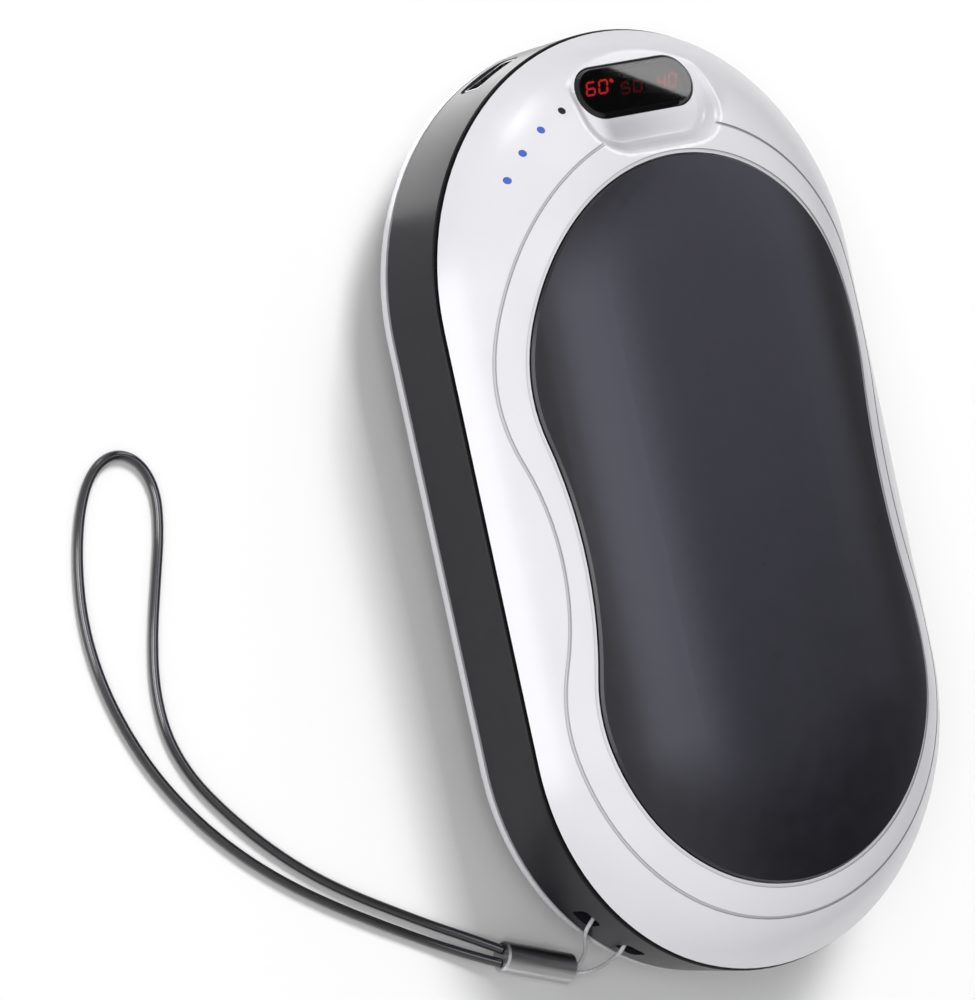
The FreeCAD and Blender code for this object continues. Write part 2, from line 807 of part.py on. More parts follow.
def make_film():
    half = film_tail_width.value / 2
    length = film_tail_end.value - upper_lobe.value
    corner = Vector(-half, upper_lobe.value, middle.value)
    tail = Part.makeBox(half * 2, length, top.value - middle.value, corner)
    under_plate = s.plate_thickness.value - s.plate_proud.value
    return layer(film_prism().fuse(tail).removeSplitter(), under_plate, under_plate + s.film_thickness.value)


def make_insulation():
    depth = s.plate_thickness.value - s.plate_proud.value + s.film_thickness.value
    over = s.overrun.value
    below = carried_round(ring_section(-over, end_radius.value, middle.value - over, cells_top.value))
    return film_prism().common(dome(depth)).cut(below)


solid("front_shell", make_front_shell())
solid("rear_shell", make_rear_shell())
solid("front_heat_plate", make_plate())
solid("rear_heat_plate", flipped(make_plate()))
solid("front_plate_gasket", make_gasket())
solid("rear_plate_gasket", flipped(make_gasket()))
solid("front_heater_film", make_film())
solid("rear_heater_film", flipped(make_film()))
insulation = make_insulation()
slot_width = s.thermistor_slot.value
slot_length = s.thermistor_length.value + slot_width
slot_start = thermistor_place.value - slot_width / 2
slot_corner = Vector(-slot_width / 2, slot_start, film_under.value - slot_width)
slot_box = Part.makeBox(slot_width, slot_length, slot_width + s.overrun.value, slot_corner)
solid("front_insulation", insulation.cut(slot_box))
solid("rear_insulation", flipped(insulation))

# Thermistor bead, in its slot of the front insulation, against the film.
bead = cylinder("thermistor", s.thermistor_radius, s.thermistor_length)
bead.Placement = FreeCAD.Placement(ORIGIN, FreeCAD.Rotation(X_AXIS, -90))
keep("thermistor", put(bead, ZERO, thermistor_place, film_under - s.thermistor_radius))

# Battery: two pouch cells with a tape between them and a protection board at their end.
cell_outline = rounded(cell_width, cell_length, s.cell_corner, cell_place)
front_low = middle + s.tape_thickness / 2
keep("front_cell", slab("front_cell", [cell_outline], front_low, s.cell_thickness))
rear_low = middle - s.tape_thickness / 2 - s.cell_thickness
keep("rear_cell", slab("rear_cell", [cell_outline], rear_low, s.cell_thickness))
tape_width = cell_width - s.tape_margin * 2
tape_length = cell_length - s.tape_margin * 2
tape_outline = rounded(tape_width, tape_length, s.cell_corner, cell_place)
keep("cell_tape", slab("cell_tape", [tape_outline], middle - s.tape_thickness / 2, s.tape_thickness))
protection_half = s.protection_width / 2
protection_end = cells_end + s.protection_thickness
protection_outline = rectangle(-protection_half, cells_end, protection_half, protection_end)
protection_low = middle - s.protection_height / 2
keep("protection_board", slab("protection_board", [protection_outline], protection_low, s.protection_height))


# Main board: a round-ended board over the display end of the band.
board_radius = inner_radius - s.board_gap
board_offset = board_chord - end_place
board_half = root(board_radius * board_radius - board_offset * board_offset)
board = new_body("main_board")
board_sketch = new_sketch(board, "XY_Plane", board_under)
draw(board_sketch, [
    (-board_half, board_chord), (board_half, board_chord, board_radius, 1),
    (ZERO, end_place + board_radius, board_radius, 1),
])
post_orbit = inner_radius - s.post_inset
post_y = board_chord + s.post_margin
post_x = root(post_orbit * post_orbit - (post_y - end_place) * (post_y - end_place))
for side in (-1, 1):
    draw_circle(board_sketch, boss_spread * side, upper_boss, s.boss_radius + s.boss_hole_gap)
    draw_circle(board_sketch, post_x * side, post_y, s.board_screw_radius + s.hole_clearance)
add_pad(board, board_sketch, s.board_thickness)
keep("main_board", board)


def screw(label, x, y, seat, head_radius, head_height, radius, length, up):
    """A pan-head screw whose head rests on seat. up is 1 where the point goes upwards."""
    if up > 0:
        head = cylinder(label + "_head", head_radius, head_height, x, y, seat - head_height)
        shank = cylinder(label + "_shank", radius, length, x, y, seat)
    else:
        head = cylinder(label + "_head", head_radius, head_height, x, y, seat)
        shank = cylinder(label + "_shank", radius, length, x, y, seat - length)
    return joined(label, [head, shank])


board_screws = [
    screw(f"board_screw_{number}", post_x * side, post_y, board_top, s.board_head_radius,
          s.board_head_height, s.board_screw_radius, s.board_screw_length, -1)
    for number, side in enumerate((-1, 1))
]
group("board_screws", board_screws)
case_screws = [
    screw(f"case_screw_{number}", x, y, s.screw_seat, s.screw_head_radius, s.screw_head_height,
          s.screw_radius, s.screw_length, 1)
    for number, (x, y) in enumerate(boss_sizes)
]
group("case_screws", case_screws)

# Middle band: a ring with a lip at both joints, and posts for the board.
band = new_body("band_ring")
wall_sketch = new_sketch(band, "XY_Plane", rear_joint)
draw(wall_sketch, stadium(end_radius, end_place))
draw(wall_sketch, stadium(inner_radius, end_place))
add_pad(band, wall_sketch, s.band_height)
lip_sketch = new_sketch(band, "XY_Plane", rear_joint - s.lip_height)
draw(lip_sketch, stadium(end_radius - s.lip_inset, end_place))
draw(lip_sketch, stadium(inner_radius, end_place))
add_pad(band, lip_sketch, s.band_height + s.lip_height * 2)
doc.recompute()
outer_edges = []
for number, edge in enumerate(band.Shape.Edges, start=1):
    box = edge.BoundBox
    off_joint = min(abs(box.ZMin - joint.value) for joint in (rear_joint, front_joint))
    at_joint = off_joint < s.band_edge.value / 2
    middle_point = edge.valueAt((edge.FirstParameter + edge.LastParameter) / 2)
    overhang = max(abs(middle_point.y) - end_place.value, 0)
    on_outside = math.hypot(middle_point.x, overhang) > end_radius.value - s.band_edge.value
    if box.ZLength < s.band_edge.value and at_joint and on_outside:
        outer_edges.append(f"Edge{number}")
dress(band, "PartDesign::Chamfer", outer_edges, "Size", s.band_edge)


def at_end(item, angle, z, end=1):
    """Turn a radial body to an angle left of the end's centre line, at the display end or the other."""
    turn = angle if end > 0 else 180 - angle
    return put(item, ZERO, end_place * end, z, turn)


posts = [
    cylinder(f"band_post_{number}", s.post_radius, s.post_height, post_x * side, post_y,
             board_under - s.post_height)
    for number, side in enumerate((-1, 1))
]
trimmed_posts = doc.addObject("Part::Common", "band_posts")
trimmed_posts.Base = joined("band_post_pair", posts)
trimmed_posts.Tool = slab("band_inside", [stadium(end_radius - s.lip_inset, end_place)], ZERO, top)
post_holes = [
    cylinder(f"band_post_hole_{number}", s.board_screw_radius + s.screw_clearance,
             s.post_height + s.overrun * 2, post_x * side, post_y, board_under - s.post_height - s.overrun)
    for number, side in enumerate((-1, 1))
]
port_width = s.socket_width + s.port_clearance * 2
port_size = s.socket_height + s.port_clearance * 2
port_hole = radial_slab("port_hole", [rounded(port_width, port_size, s.socket_corner)],
                        inner_radius - s.overrun, end_radius + s.overrun)
at_end(port_hole, s.port_angle, port_height)
port_mouth = radial_slab("port_mouth", [rounded(port_width, port_size, s.socket_corner)],
                         end_radius - s.port_flare_depth, end_radius + s.overrun, s.port_flare_angle)
at_end(port_mouth, s.port_angle, port_height)
button_hole_width = s.button_width + s.button_clearance * 2
button_hole_height = s.button_height + s.button_clearance * 2
button_hole = radial_slab("button_hole", [slot(button_hole_width, button_hole_height)],
                          inner_radius - s.overrun, end_radius + s.overrun)
at_end(button_hole, -s.button_angle, port_height)
lanyard_height = front_joint - s.lanyard_drop
lanyard_cuts = []
for number, side in enumerate((-1, 1)):
    hole_outline = rounded(s.lanyard_width, s.lanyard_height, s.lanyard_corner)
    hole = radial_slab(f"lanyard_hole_{number}", [hole_outline], inner_radius - s.overrun,
                       end_radius + s.overrun)
    lanyard_cuts.append(at_end(hole, s.lanyard_angle + s.lanyard_spread_angle * side, lanyard_height, -1))
channel_width = (end_radius * sine(s.lanyard_spread_angle)) * 2 + s.lanyard_width
channel = radial_slab("lanyard_channel", [rounded(channel_width, s.lanyard_height, s.lanyard_corner)],
                      inner_radius - s.overrun, end_radius - s.bar_thickness)
lanyard_cuts.append(at_end(channel, s.lanyard_angle, lanyard_height, -1))
band_solid = joined("band_solid", [band, trimmed_posts])
band_cuts = joined("band_cuts", post_holes + [port_hole, port_mouth, button_hole] + lanyard_cuts)
keep("middle_band", cut("middle_band", band_solid, band_cuts))

# Charging socket: a metal can under the board with a tongue in its mouth.
mouth = end_radius - s.socket_setback
socket_rear = mouth - s.socket_depth
can_outline = rounded(s.socket_width, s.socket_height, s.socket_corner)
can = radial_slab("socket_can", [can_outline], socket_rear, mouth)
inside_outline = rounded(s.socket_width - s.socket_wall * 2, s.socket_height - s.socket_wall * 2,
                         s.socket_corner - s.socket_wall)
can_inside = radial_slab("socket_inside", [inside_outline], socket_rear + s.socket_back, mouth + s.overrun)
socket = cut("charge_socket_shell", can, can_inside)
keep("charge_socket_shell", at_end(socket, s.port_angle, port_height))
tongue_root = socket_rear + s.socket_back
tongue_outline = rectangle(-s.tongue_width / 2, -s.tongue_height / 2, s.tongue_width / 2, s.tongue_height / 2)
tongue = radial_slab("charge_socket_tongue", [tongue_outline], tongue_root, tongue_root + s.tongue_length)
keep("charge_socket_tongue", at_end(tongue, s.port_angle, port_height))

# Power button: a cap in the band, a flange behind the wall, and the switch that it presses.
flange_half = s.flange_width / 2
flange_limit = inner_radius - s.flange_gap
flange_outer = root(flange_limit * flange_limit - flange_half * flange_half)
flange_inner = flange_outer - s.flange_thickness
cap = radial_slab("button_cap", [slot(s.button_width, s.button_height)], flange_outer,
                  end_radius + s.button_proud)
doc.recompute()
cap_edges = [
    f"Edge{number}" for number, edge in enumerate(cap.Shape.Edges, start=1)
    if edge.BoundBox.YMin > end_radius.value
]
dress(cap, "PartDesign::Fillet", cap_edges, "Radius", s.button_round)
cap_flange = radial_slab("button_flange", [slot(s.flange_width, s.flange_height)], flange_inner, flange_outer)
button = joined("power_button", [cap, cap_flange])
keep("power_button", at_end(button, -s.button_angle, port_height))
switch_front = flange_inner - s.plunger_length
switch_rear = switch_front - s.switch_depth
switch_top = board_under - port_height
switch_outline = rectangle(-s.switch_width / 2, switch_top - s.switch_height, s.switch_width / 2, switch_top)
case_block = radial_slab("switch_block", [switch_outline], switch_rear, switch_front)
plunger_hole = new_body("plunger_hole")
hole_sketch = new_sketch(plunger_hole, "XZ_Plane", -(switch_front - s.plunger_depth - s.plunger_length))
draw_circle(hole_sketch, ZERO, ZERO, s.plunger_radius + s.plunger_clearance)
add_pad(plunger_hole, hole_sketch, s.plunger_depth + s.plunger_length + s.overrun, backwards=True)
housing = cut("switch_housing", case_block, plunger_hole)
keep("switch_housing", at_end(housing, -s.button_angle, port_height))
plunger = new_body("switch_plunger")
plunger_sketch = new_sketch(plunger, "XZ_Plane", -(switch_front - s.plunger_depth))
draw_circle(plunger_sketch, ZERO, ZERO, s.plunger_radius)
add_pad(plunger, plunger_sketch, s.plunger_depth + s.plunger_length, backwards=True)
keep("switch_plunger", at_end(plunger, -s.button_angle, port_height))

# Display: a lens in the scoop, a digit module behind it, and the module's pins down to the board.
lens_under = s.window_proud.value - s.window_thickness.value
lens_flange = s.window_flange.value * 2
flange_top = lens_under + s.window_flange_thickness.value
window_width, window_height = s.window_width.value, s.window_height.value
lens = oval(window_width, window_height, lens_under, s.window_proud.value)
bevel_low = s.window_proud.value - s.window_bevel.value / 2
lens = lens.makeChamfer(s.window_bevel.value, [edge for edge in lens.Edges if edge.BoundBox.ZMin > bevel_low])
lens = lens.fuse(oval(window_width + lens_flange, window_height + lens_flange, lens_under, flange_top))
solid("display_window", at_window(lens.removeSplitter()))
module_top = s.window_proud - s.window_thickness - s.module_gap
module_side = s.module_width / 2
module_end = s.module_height / 2
module_outline = rectangle(-module_side, -module_end, module_side, module_end)
module = slab("display_module", [module_outline], module_top - s.module_thickness, s.module_thickness)
put(module, ZERO, window_place, front_joint + s.window_rise, -s.window_tilt, X_AXIS)
keep("display_module", module)
module_base = s.module_thickness - module_top
pin_y = window_place - module_base * sine(s.window_tilt)
pin_top = front_joint + s.window_rise - module_base * cosine(s.window_tilt) + s.pin_seat
first_pin = -s.pin_pitch * (PIN_COUNT - 1) / 2
pins = [
    cylinder(f"display_pin_{number}", s.pin_radius, pin_top - board_top, first_pin + s.pin_pitch * number,
             pin_y, board_top)
    for number in range(PIN_COUNT)
]
group("display_pins", pins)

# Indicator lights: an LED on the board and a light pipe up to the dome for each.
leds = []
for number, (light_x, light_y) in enumerate(light_places, start=1):
    half_led = s.led_width / 2
    led = slab(f"led_{number}", [rectangle(-half_led, -half_led, half_led, half_led)], ZERO, s.led_height)
    leds.append(put(led, light_x, light_y, board_top))
    pipe_foot = (board_top + s.led_height).value
    pipe = post(s.light_radius.value, light_x.value, light_y.value, pipe_foot, top.value)
    solid(f"light_pipe_{number}", pipe.common(dome()))
group("indicator_leds", leds)


def tube(name, route, diameter):
    """A round tube along straight runs joined by tangent arcs as large as the runs allow."""
    points = [Vector(*point) for point in route]
    fit_share = 0.45
    edges = []
    radii = []
    start = points[0]
    for before, corner, after in zip(points, points[1:], points[2:]):
        back = (before - corner).normalize()
        on = (after - corner).normalize()
        half = back.getAngle(on) / 2
        shorter = min((before - corner).Length, (after - corner).Length)
        reach = fit_share * shorter
        radius = reach * math.tan(half)
        radii.append(radius)
        bend = corner + (back + on).normalize() * (radius / math.sin(half) - radius)
        edges.append(Part.LineSegment(start, corner + back * reach).toShape())
        edges.append(Part.Arc(corner + back * reach, bend, corner + on * reach).toShape())
        start = corner + on * reach
    edges.append(Part.LineSegment(start, points[-1]).toShape())
    path = Part.Wire(edges)
    ring = Part.Wire(Part.makeCircle(diameter / 2, points[0], points[1] - points[0]))
    shape = Part.Wire(path).makePipeShell([ring], True, True)
    section = math.pi * diameter ** 2 / 4
    print(f"{name}: length {path.Length:.1f}, least radius {min(radii):.2f},",
          f"volume share {shape.Volume / (section * path.Length):.4f}")
    print(f"{name} radii:", " ".join(f"{radius:.2f}" for radius in radii))
    return shape


# Leads inside the housing.
heater_leads = [
    cylinder(f"front_lead_{number}", s.lead_radius, film_under - board_top,
             s.lead_spread * side, lead_place, board_top)
    for number, side in enumerate((-1, 1))
]
group("front_heater_leads", heater_leads)
rear_film_top = top - film_under
rear_leads = [
    cylinder(f"rear_lead_{number}", s.lead_radius, board_under - rear_film_top,
             s.lead_spread * side, lead_place, rear_film_top)
    for number, side in enumerate((-1, 1))
]
group("rear_heater_leads", rear_leads)
lead_start = protection_end.value
lead_height = (board_under - s.battery_lead_drop).value
lead_end = lead_start + s.battery_lead_reach.value
battery_leads = []
for side in (-1, 1):
    lead_x = side * s.battery_lead_spread.value / 2
    lead_route = [
        (lead_x, lead_start, lead_height),
        (lead_x, lead_end, lead_height),
        (lead_x, lead_end, board_under.value),
    ]
    battery_leads.append(tube("battery lead", lead_route, s.battery_lead_radius.value * 2))
solid("battery_leads", Part.Compound(battery_leads))

# Lanyard: a string round the bar of the band, a crimp sleeve and a loop of cord.
solid("strap_string", tube("string", STRING_ROUTE, s.string_diameter.value))
solid("strap_cord", tube("cord", CORD_ROUTE, s.cord_diameter.value))
sleeve_start, sleeve_end = [
    (Vector(*route[0]) + Vector(*route[-1])) / 2 for route in (CORD_ROUTE, STRING_ROUTE)
]
sleeve_run = sleeve_end - sleeve_start
sleeve = Part.makeCylinder(s.sleeve_radius.value, sleeve_run.Length, sleeve_start, sleeve_run)
sleeve = sleeve.makeChamfer(s.sleeve_edge.value, [edge for edge in sleeve.Edges if len(edge.Vertexes) == 1])
solid("strap_sleeve", sleeve)

doc.recompute()
for item in doc.Objects:
    if "Invalid" in item.State or "Error" in item.State:
        raise RuntimeError(f"{item.Name} failed: {item.State}")
for label, item in parts.items():
    if item.Shape.isNull() or not item.Shape.isValid() or not item.Shape.Solids:
        raise RuntimeError(f"{label} has no valid solid")
os.makedirs("parts", exist_ok=True)
for label, item in parts.items():
    item.Shape.exportStep(f"parts/{label}.step")
print(len(parts), "sub-parts written")
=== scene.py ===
import json
import math

import bpy
from mathutils import Matrix, Vector


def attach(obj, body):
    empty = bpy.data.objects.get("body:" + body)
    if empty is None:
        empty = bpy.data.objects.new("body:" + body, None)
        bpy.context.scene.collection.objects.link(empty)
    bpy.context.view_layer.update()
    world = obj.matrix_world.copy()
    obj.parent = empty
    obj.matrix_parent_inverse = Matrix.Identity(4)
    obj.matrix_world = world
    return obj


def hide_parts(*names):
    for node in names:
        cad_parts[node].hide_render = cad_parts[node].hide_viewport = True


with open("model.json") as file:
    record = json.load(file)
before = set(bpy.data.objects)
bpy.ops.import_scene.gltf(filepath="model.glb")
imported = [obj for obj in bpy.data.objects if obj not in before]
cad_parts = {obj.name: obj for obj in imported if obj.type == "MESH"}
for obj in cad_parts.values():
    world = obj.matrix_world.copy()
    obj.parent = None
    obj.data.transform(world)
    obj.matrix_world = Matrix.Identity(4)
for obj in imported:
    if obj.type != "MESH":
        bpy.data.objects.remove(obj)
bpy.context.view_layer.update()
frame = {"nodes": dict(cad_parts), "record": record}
scene = bpy.context.scene
sleeve = frame["nodes"]["strap_sleeve"]
BODY = "housing"

# Lengths are in metres. The warmer lies on its back on the floor, with its display towards +Y.
UP = Vector((0, 0, 1))
ALONG_HOUSING = Vector((0, 1, 0))

# Camera: the photograph's own view, with the picture's up direction almost along the housing.
CAMERA_PLACE = Vector((-0.28768, 0.02298, 0.38306))
CAMERA_RIGHT = Vector((0.7920, -0.2112, 0.5728))
CAMERA_UP = Vector((0.1944, 0.9767, 0.0913))
CAMERA_LENS_MM = 145.96
CAMERA_SENSOR_MM = 36.0

# Lanyard: the routes of the thin string and of the cord's loop, and how finely their curves are drawn.
STRING_DIAMETER = 0.0005
STRING_ROUTE = [
    (-0.01936, -0.04993, 0.0018), (-0.0185, -0.0502, 0.0020), (-0.0184, -0.0494, 0.0032),
    (-0.0196, -0.0480, 0.0058), (-0.0217, -0.0466, 0.0090), (-0.0233, -0.0449, 0.0117),
    (-0.0224, -0.04364, 0.0125), (-0.02068, -0.04227, 0.0125), (-0.01833, -0.04332, 0.0125),
    (-0.01723, -0.04565, 0.0125), (-0.01857, -0.0474, 0.0125), (-0.01949, -0.04858, 0.0118),
    (-0.0188, -0.0492, 0.0094), (-0.0174, -0.0505, 0.0053), (-0.0177, -0.0511, 0.0029),
    (-0.01877, -0.05095, 0.0019), (-0.01964, -0.05057, 0.0018),
]
CORD_DIAMETER = 0.0011
CORD_ROUTE = [
    (-0.0282, -0.04565, 0.0018), (-0.0310, -0.04375, 0.0011), (-0.0356, -0.0410, 0.0006),
    (-0.0406, -0.0379, 0.0006), (-0.0456, -0.0347, 0.0006), (-0.0506, -0.0310, 0.0006),
    (-0.0553, -0.0266, 0.0006), (-0.0596, -0.0216, 0.0006), (-0.0628, -0.0169, 0.0006),
    (-0.0646, -0.0119, 0.0006), (-0.0647, -0.0064, 0.0006), (-0.0635, -0.0009, 0.0006),
    (-0.0617, 0.0046, 0.0006), (-0.0599, 0.0099, 0.0006), (-0.0592, 0.0144, 0.0006),
    (-0.0605, 0.0179, 0.0006), (-0.0634, 0.0194, 0.0006), (-0.0667, 0.0180, 0.0006),
    (-0.0692, 0.0139, 0.0006), (-0.0709, 0.0082, 0.0006), (-0.0717, 0.0020, 0.0006),
    (-0.0712, -0.0042, 0.0006), (-0.0695, -0.0104, 0.0006), (-0.0667, -0.0166, 0.0006),
    (-0.0626, -0.0226, 0.0006), (-0.0577, -0.0279, 0.0006), (-0.0525, -0.0323, 0.0006),
    (-0.0471, -0.0361, 0.0006), (-0.0416, -0.0396, 0.0006), (-0.0365, -0.0427, 0.0006),
    (-0.0318, -0.04545, 0.0011), (-0.0288, -0.04705, 0.0018),
]
CURVE_ORDER = 3
CURVE_STEPS = 12
CURVE_ROUNDNESS = 6

# Display: the lens lies on a floor tilted towards the end. Its reach is half the length of its middle line.
WINDOW_TILT = math.radians(16.0)
WINDOW_CENTRE = Vector((0, 0.04724, 0.0232))
WINDOW_RADIUS = 0.00315
WINDOW_REACH = 0.00515
WINDOW_RIM = 0.0006
LENS_TOP = 0.0003
WINDOW_TURN = Matrix.Rotation(-WINDOW_TILT, 4, "X")
WINDOW_MATRIX = Matrix.Translation(WINDOW_CENTRE) @ WINDOW_TURN

# Figures of the display: slanted seven-segment numbers behind the lens, in the window's plane.
SEGMENTS = {"0": "abcdef", "4": "bcfg", "5": "acdfg", "6": "acdefg"}
SEGMENT_ENDS = {
    "a": ((0, 2), (1, 2)), "b": ((1, 1), (1, 2)), "c": ((1, 0), (1, 1)), "d": ((0, 0), (1, 0)),
    "e": ((0, 0), (0, 1)), "f": ((0, 1), (0, 2)), "g": ((0, 1), (1, 1)),
}
SEGMENT_GAP_SHARE = 1 / 8
FIGURE_DEPTH = -0.00115
FIGURE_THICKNESS = 0.00004
FIGURE_SLANT = 0.42
FIGURE_STROKE = 0.00024
FIGURE_RED = (1.0, 0.03, 0.04)
FIGURE_UNLIT_SHARES = (0.4, 0.6)
FIGURE_ROUGHNESS = (0.3, 0.5)
FIGURE_MOTTLE = 2000.0
FIRST_FIGURES = dict(text="60", left=-0.0064, low=0.0001, width=0.00115, height=0.0015, pitch=0.0018)
SECOND_FIGURES = dict(text="50", left=-0.0016, low=-0.0004, width=0.00115, height=0.0013, pitch=0.0018)
THIRD_FIGURES = dict(text="40", left=0.0037, low=-0.0006, width=0.00105, height=0.0016, pitch=0.0016)
FIRST_GLOW = 8.0
SECOND_GLOW = 0.9
THIRD_GLOW = 4.0
DEGREE_PLACE = Vector((-0.00227, 0.0014))
DEGREE_RADIUS = 0.00026
DEGREE_CORNERS = 12

# Finishes: noise for the mottle, and where a finish changes with the place on its piece.
MOTTLE_DETAIL = 4.0
MOTTLE_STOPS = (0.3, 0.7)
BAND_MIDDLE = 0.0137
BAND_WALL_HALF = 0.00455
JOINT_BLACK = (0.002, 0.002, 0.002, 1)
JOINT_ROUGHNESS = 0.9
RIM_BLACK = (0.003, 0.003, 0.003, 1)
DOME_REACH = 0.0246
CROWN_HALF = 0.0126
CROWN_RADIUS = 0.0228
CROWN_BLEND = 0.011
# Painted shade on the floor of the display's scoop: where it reaches, and how it fades.
SCOOP_REACH = (0.0052, 0.0078)
SCOOP_RISE = (-0.0045, -0.0005)
SCOOP_LEFT = (-0.0075, -0.0050)
SCOOP_ACROSS = (-0.006, 0.008)
SCOOP_RIGHT = 0.4
SCOOP_PAINTED_SHADE = (0.38, 0.373, 0.40, 1)
# Painted shade in the grooves and hollows of the white shell, from ambient occlusion.
HOLLOW_SAMPLES = 8
HOLLOW_REACH = 0.008
HOLLOW_RANGE = (0.3, 1.0)
HOLLOW_WEIGHT = 0.9
HOLLOW_PAINTED_SHADE = (0.36, 0.355, 0.38, 1)
SLEEVE_TURN = math.radians(-23.4)
SLEEVE_BRUSH = (40, 1, 1)
# Painted dark reflection along one side of the sleeve, fading in across it.
SLEEVE_FADE = (-0.0004, 0.0012)
SLEEVE_REFLECTION_WEIGHT = 0.85
SLEEVE_PAINTED_REFLECTION = (0.05, 0.05, 0.052, 1)

# Floor and world: white for the camera, with the shadow left on the floor. Mirrored, they are darker to the
# right.
FLOOR_SIZE = 6.0
FLOOR_SHADE = 0.36
FLOOR_SEEN = 0.79
FLOOR_MIRRORED = (0.79, 0.1)
FLOOR_FADE = (0.06, 0.25)
WHITE = (1, 1, 1, 1)
WORLD_LIGHT = 0.4
WORLD_SHADES = ((0.0, 0.7), (0.25, 0.5), (0.5, 0.05), (0.75, 0.06), (0.95, 0.2))

# Lights: a soft key from the display's end, a fill from the left that spares the floor, and two lights for
# the floor alone, one of which throws the shadow. The others are panels that are only seen mirrored: along
# the left side for the long highlight, beyond the display for the bright patch beside the indicator lights,
# overhead for the plate's sheen, on the right for its dimmer half, low by the socket for the pale end of the
# band, and on the left for the cord.
LIGHT_TARGET = Vector((0, 0, 0.014))
FILL_PLACE = Vector((-1.56, 0.26, 2.05))
FILL_SIZE = (1.2, 1.2)
CARD_PLACE = Vector((-0.014, 0.0573, 0.0005))
ALONG_CARD = Vector((0.85, 0.5, 0))
COOL = (0.94, 0.94, 1.18)
LIGHTS = {
    "key": dict(place=Vector((0.65, 1.56, 1.98)), size=(0.8, 0.8), radiance=5.0, only="diffuse"),
    "fill": dict(place=FILL_PLACE, size=FILL_SIZE, radiance=8.6, only="diffuse", spares="floor"),
    "floor light": dict(place=Vector((0.31, 1.72, 1.92)), size=(0.8, 0.8), radiance=25.0, only="diffuse",
                        keeps_to="floor"),
    "floor fill": dict(place=FILL_PLACE, size=FILL_SIZE, radiance=4.7, only="diffuse", keeps_to="floor"),
    "side panel": dict(place=Vector((-2.3, 0.1, 0.85)), size=(1.6, 1.2), radiance=4.0, spares="sleeve"),
    "patch panel": dict(place=Vector((-0.12, 1.8, 0.86)), size=(0.45, 0.3), radiance=9.0),
    "strip": dict(place=Vector((0.62, -0.06, 2.52)), size=(0.88, 1.49), radiance=2.5, along=ALONG_HOUSING,
                  colour=COOL, spares="sleeve"),
    "dim panel": dict(place=Vector((2.0, 0.41, 1.65)), size=(1.23, 1.64), radiance=1.05, along=ALONG_HOUSING,
                      colour=COOL, keeps_to="plate"),
    "floor card": dict(place=CARD_PLACE, target=CARD_PLACE + UP, size=(0.042, 0.011), radiance=2.3,
                       along=ALONG_CARD),
    "cord light": dict(place=Vector((-1.16, 0.08, 1.62)), size=(0.9, 0.9), radiance=7.0, keeps_to="cord"),
}

# A last panel, whose mirrored edge falls across the lens from its upper left to its lower right.
PANEL_DISTANCE = 1.5
PANEL_SIZE = 0.5
PANEL_RADIANCE = 5.0
LENS_EDGE_POINTS = (Vector((-0.0050, 0.0029, LENS_TOP)), Vector((0.00525, -0.0027, LENS_TOP)))
LENS_LIT_POINT = Vector((0.0050, 0.0020, LENS_TOP))


def link(item):
    scene.collection.objects.link(item)
    return item


def placed(place, right, back):
    """The matrix of a camera or a light that looks away from back."""
    up = back.cross(right)
    return Matrix.Translation(place) @ Matrix((right, up, back)).transposed().to_4x4()


def make_camera():
    right = CAMERA_RIGHT.normalized()
    back = right.cross(CAMERA_UP).normalized()
    data = bpy.data.cameras.new("camera")
    data.lens = CAMERA_LENS_MM
    data.sensor_width = CAMERA_SENSOR_MM
    camera = link(bpy.data.objects.new("camera", data))
    camera.matrix_world = placed(CAMERA_PLACE, right, back)
    scene.camera = camera


def feed(tree, socket, value):
    """Links a socket to another one, or sets it to a plain value."""
    if isinstance(value, bpy.types.NodeSocket):
        tree.links.new(value, socket)
    else:
        socket.default_value = value


def add(tree, kind, inputs=None, **settings):
    """A new node with its settings, and with inputs that are linked or set."""
    node = tree.nodes.new("ShaderNode" + kind)
    for name, value in settings.items():
        setattr(node, name, value)
    for key, value in (inputs or {}).items():
        feed(tree, node.inputs[key], value)
    return node


def joined(tree, operation, first, second):
    return add(tree, "Math", {0: first, 1: second}, operation=operation).outputs["Value"]


def worked(tree, value, *steps):
    """A linked value taken through sums with set numbers."""
    for operation, number in steps:
        value = joined(tree, operation, value, number)
    return value


def ranged(tree, value, span, levels, curve="LINEAR"):
    """A change between two levels while a linked value crosses a span."""
    low, high = span
    first, last = levels
    inputs = {"Value": value, "From Min": low, "From Max": high, "To Min": first, "To Max": last}
    return add(tree, "MapRange", inputs, interpolation_type=curve).outputs["Result"]


def faded(tree, value, span, levels):
    return ranged(tree, value, span, levels, "SMOOTHSTEP")


def mixed(tree, kind, factor, first, second):
    """A mix of two colours or numbers, each linked or set."""
    mix = add(tree, "Mix", {"Factor": factor}, data_type=kind)
    ends = [socket for socket in mix.inputs if socket.enabled and socket.name in ("A", "B")]
    for end, value in zip(ends, (first, second)):
        feed(tree, end, value)
    return next(socket for socket in mix.outputs if socket.enabled)


def own_place(tree):
    """The place in the object's own space, from the node that every finish has."""
    return tree.nodes["Texture Coordinate"].outputs["Object"]


def stadium_distance(tree, centre, turn, reach):
    """The distance from a middle line of a given half length, and the places along and across it."""
    inputs = {"Vector": own_place(tree), "Location": centre, "Rotation": turn}
    local = add(tree, "Mapping", inputs, vector_type="TEXTURE")
    sides = add(tree, "SeparateXYZ", {"Vector": local.outputs["Vector"]}).outputs
    past_line = worked(tree, sides["X"], ("ABSOLUTE", 0), ("SUBTRACT", reach), ("MAXIMUM", 0))
    off = add(tree, "CombineXYZ", {"X": past_line, "Y": sides["Y"]})
    length = add(tree, "VectorMath", {0: off.outputs["Vector"]}, operation="LENGTH")
    return length.outputs["Value"], sides["X"], sides["Y"]


def window_distance(tree):
    return stadium_distance(tree, WINDOW_CENTRE, (-WINDOW_TILT, 0, 0), WINDOW_REACH)


